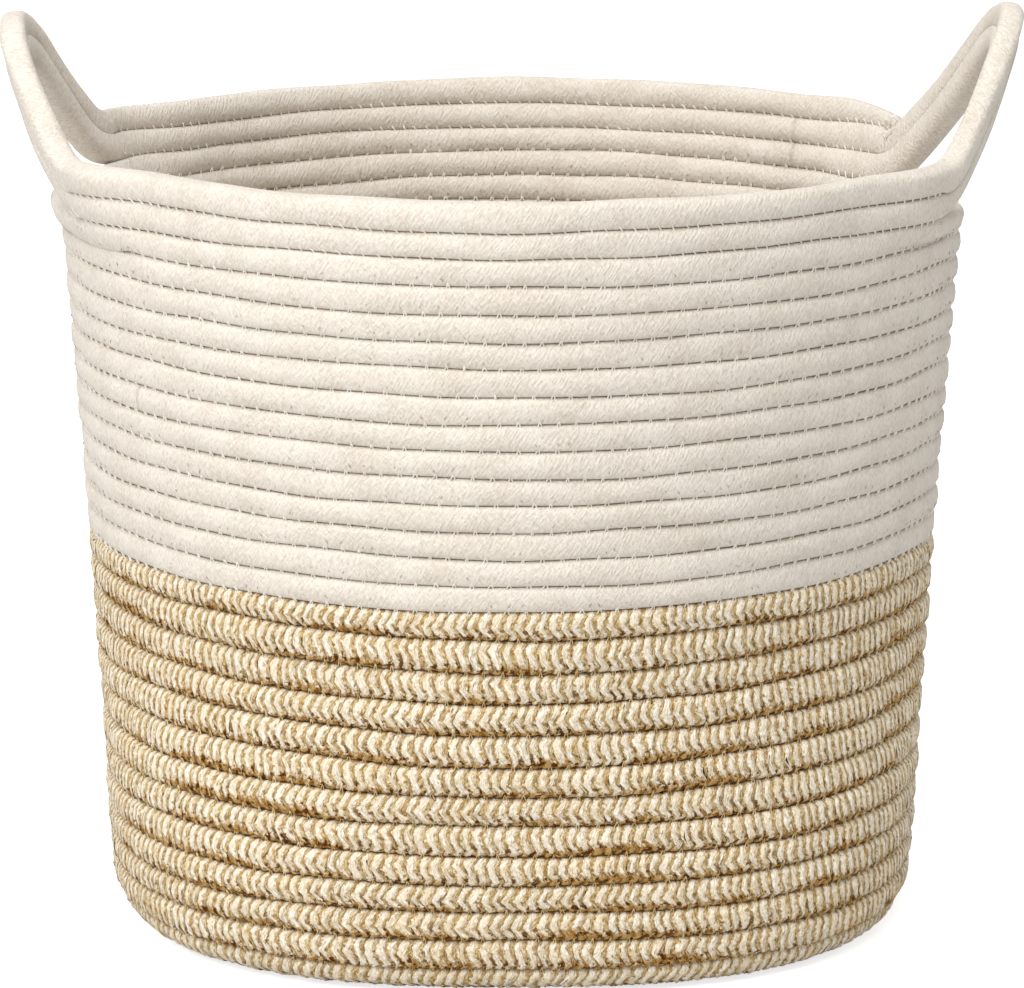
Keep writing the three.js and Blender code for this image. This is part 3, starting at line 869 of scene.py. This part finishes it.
# Needle holes at the tops of the stitches: slanting diamonds of four corners on the rope's
# surface, each with one point just over it and one sunk under it.
def addHoles(name, face, start, end, thickness, material, slot):
    path = RopePath(start, end)
    length = stitchLengths(path, None)
    length = length[rng.random(len(length)) < holes["kept"]]
    length = length + rng.normal(0, holes["scatter"], len(length))
    length = np.clip(length, 0, path.total)
    size = rng.uniform(*holes["size"], len(length))
    place, scatter = holes["place"]
    middle = place + rng.normal(0, scatter, len(length))
    slant = rng.choice([-holes["slant"], holes["slant"]], len(length))
    wide, tall = holes["corner"]
    corners = []
    for along, up in ((-wide, 0), (-slant, -tall), (wide, 0), (slant, tall)):
        share = middle + up * size / thickness * 2
        depth = surfaceDepth(share, thickness, holes["fullness"]) + 0.02
        corners.append(ropePoint(path.turnAt(length + along * size), share, face * depth))
    depth = surfaceDepth(middle, thickness, holes["fullness"])
    for standing in (holes["proud"], -holes["deep"]):
        corners.append(ropePoint(path.turnAt(length), middle, face * (depth + standing)))
    base = np.arange(len(length))[:, None, None] * 6
    fan = np.array([[1, 0, 4], [2, 1, 4], [3, 2, 4], [0, 3, 4],
                    [0, 1, 5], [1, 2, 5], [2, 3, 5], [3, 0, 5]])
    if face < 0:
        fan = fan[:, ::-1]
    piece = addMesh(name, np.stack(corners, axis=1).reshape(-1, 3), (base + fan).reshape(-1, 3))
    finishPiece(piece, material, slot)


onMixed = (ropes["mixedThickness"], strawThreadMaterial, "mixed_rope")
onWhite = (ropes["whiteThickness"], whiteThreadMaterial, "white_rope")
inWhite = (ropes["whiteThickness"], holeMaterial, "white_rope")
for face, word in ((1, "Outside"), (-1, "Inside")):
    addStitches(f"strawThread{word}", face, wallTurn, whiteTurn, *onMixed)
    addStitches(f"whiteThread{word}", face, whiteTurn, firstLift, *onWhite)
    addStitches(f"bandThread{word}", face, firstLift, firstLift + 1, *onWhite, openLayer=0)
    addStitches(f"rimThread{word}", face, firstLift + 1, endTurn, *onWhite, openLayer=1)
    addHoles(f"needleHoles{word}", face, whiteTurn, firstLift, *inWhite)
addStitches("strawThreadBase", -1, 2.0, wallTurn, *onMixed)
print("seams sewn")

# Loose fibres: their number, radius, length and how far they stand off, and the share across
# the rope at which they start, with its scatter

fuzz = {
    "jute": {"count": 5200, "radius": 0.075, "length": (1.2, 3.4), "stand": (0.2, 1.1),
             "middle": -1.0, "scatter": 0.22},
    "hair": {"count": 9000, "radius": 0.08, "length": (1.6, 3.6), "stand": (0.05, 0.45),
             "middle": 0.0, "scatter": 0.45},
    "cotton": {"count": 2600, "radius": 0.07, "length": (0.8, 2.2), "stand": (0.2, 0.9),
               "middle": -1.0, "scatter": 0.22},
    "corner": {"count": 26, "radius": 0.24, "length": (2.0, 4.5), "stand": (0.3, 1.2),
               "middle": -1.0, "scatter": 0.25, "spread": 1.6},
    "ropeEnd": {"count": 80, "radius": 0.24, "length": (2.5, 5.5), "stand": (0.2, 1.0),
                "middle": -1.1, "scatter": 0.4, "spread": 3.6},
}
outsideShare = 0.75
turnLength = 2 * math.pi * rimLineRadius


# Fibres that start between two turns, or around one turn where only that is given. Each is a
# bent line of three points that runs off in a random direction and lifts off the rope.
def addFuzz(name, kind, start, end, thickness, material, slot):
    values = fuzz[kind]
    count = values["count"]
    if end is None:
        turn = start + rng.normal(0, values["spread"], count) / turnLength
        face = rng.choice([-1.0, 1.0], count)
    else:
        turn = rng.uniform(start, end, count)
        face = np.where(rng.random(count) < outsideShare, 1.0, -1.0)
    share = values["middle"] + rng.normal(0, values["scatter"], count)
    direction = rng.uniform(0, 2 * math.pi, count)
    length = rng.uniform(*values["length"], count)
    stand = rng.uniform(*values["stand"], count)
    corners = []
    for t in (0.0, 0.5, 1.0):
        place = turn + np.cos(direction) * length * t / turnLength
        across = share + np.sin(direction) * length * t / thickness * 2
        standing = stand * 2 * t * (1.3 - 0.8 * t) - 0.2
        depth = surfaceDepth(across, thickness, stitch["fullness"]) + standing
        corners.append(ropePoint(place, across, face * depth))
    addThreads(name, np.stack(corners, axis=1), values["radius"], material, slot, taper=0.4)


ofJute = (ropes["mixedThickness"], juteFibreMaterial, "mixed_rope")
addFuzz("juteFibres", "jute", wallTurn + 1, whiteTurn - 0.1, *ofJute)
addFuzz("juteHairs", "hair", wallTurn + 1, whiteTurn, *ofJute)
addFuzz("cottonFibres", "cotton", whiteTurn, firstLift - 0.1, *onWhite)
for number, handle in enumerate(handles):
    for leg in (0, 1):
        foot = handleTurn + handle["middle"] + (2 * leg - 1) * handle["width"][leg] / turnLength
        addFuzz(f"cornerTuft{number * 2 + leg + 1}", "corner", foot, None, *onWhite)
addFuzz("ropeEndThread", "ropeEnd", endTurn, None, *onWhite)
print("fibres laid")

# Camera, floor and lights

camera = {
    "distance": 11 * body["rimRadius"],
    "lookAt": 146.7,
    "pitch": math.radians(12),
    "lens": 174.02,
}
cameraData = bpy.data.cameras.new("camera")
cameraData.lens = camera["lens"]
cameraData.sensor_width = 36.0
cameraData.clip_start = 0.05
cameraData.clip_end = 50.0
cameraObject = bpy.data.objects.new("camera", cameraData)
back = camera["distance"] * math.cos(camera["pitch"])
up = camera["lookAt"] + camera["distance"] * math.sin(camera["pitch"])
cameraObject.location = (0, -back * millimetre, up * millimetre)
cameraObject.rotation_euler = (math.pi / 2 - camera["pitch"], 0, 0)
bpy.context.collection.objects.link(cameraObject)
scene = bpy.context.scene
scene.camera = cameraObject
scene.view_settings.view_transform = "Standard"

studio = {
    "keyLight": {"place": (-1.5, -1.7, 1.5), "size": 1.6, "power": 19.5},
    "topLight": {"place": (-0.4, -1.2, 2.0), "size": 2.0, "power": 32},
    "aim": (0, 0, 0.15),
    "sky": 0.61,
    "paper": "#DCDCDC",
    "paperGlow": 0.72,  # lifts the floor to white, for the camera, mirrors and glass only
}
for name in ("keyLight", "topLight"):
    values = studio[name]
    data = bpy.data.lights.new(name, "AREA")
    data.shape = "DISK"
    data.size = values["size"]
    data.energy = values["power"]
    lamp = bpy.data.objects.new(name, data)
    lamp.location = values["place"]
    lamp.rotation_mode = "QUATERNION"
    toBasket = Vector(studio["aim"]) - lamp.location
    lamp.rotation_quaternion = toBasket.to_track_quat("-Z", "Y")
    bpy.context.collection.objects.link(lamp)

world = bpy.data.worlds.new("studio")
scene.world = world
world.use_nodes = True
tree = world.node_tree
tree.nodes.clear()


# Whether a ray comes from the camera, from a mirror or through glass.
def addSeenRays(tree):
    rays = addNode(tree, "LightPath", {})
    mirrored = addNode(tree, "Math", {"operation": "MAXIMUM"},
                       {0: rays.outputs["Is Glossy Ray"], 1: rays.outputs["Is Transmission Ray"]})
    seen = addNode(tree, "Math", {"operation": "MAXIMUM"},
                   {0: rays.outputs["Is Camera Ray"], 1: mirrored.outputs[0]})
    return seen.outputs[0]


strength = addNode(tree, "MapRange", {3: studio["sky"], 4: 1.0}, {0: addSeenRays(tree)})
sky = addNode(tree, "Background", {"Color": (1, 1, 1, 1)}, {"Strength": strength.outputs[0]})
addNode(tree, "OutputWorld", {}, {0: sky.outputs[0]})

# the floor lies a little under the rope's flat underside, so that the two don't coincide
floorReach, floorHeight = 6000.0, -0.3
floorPoints = np.array([[-1, -1, 0], [1, -1, 0], [1, 1, 0], [-1, 1, 0]]) * floorReach
floorPoints[:, 2] = floorHeight
floor = addMesh("floor", floorPoints, np.array([[0, 1, 2, 3]]))
floorMaterial, tree = newMaterial("whitePaper")
lifted = addNode(tree, "Math", {"operation": "MULTIPLY", 1: studio["paperGlow"]},
                 {0: addSeenRays(tree)})
paper = addNode(tree, "BsdfDiffuse", {"Color": linearColor(studio["paper"])})
glow = addNode(tree, "Emission", {"Color": (1, 1, 1, 1)}, {"Strength": lifted.outputs[0]})
both = addNode(tree, "AddShader", {}, {0: paper.outputs[0], 1: glow.outputs[0]})
addNode(tree, "OutputMaterial", {}, {0: both.outputs[0]})
floor.data.materials.append(floorMaterial)
print("stage set")
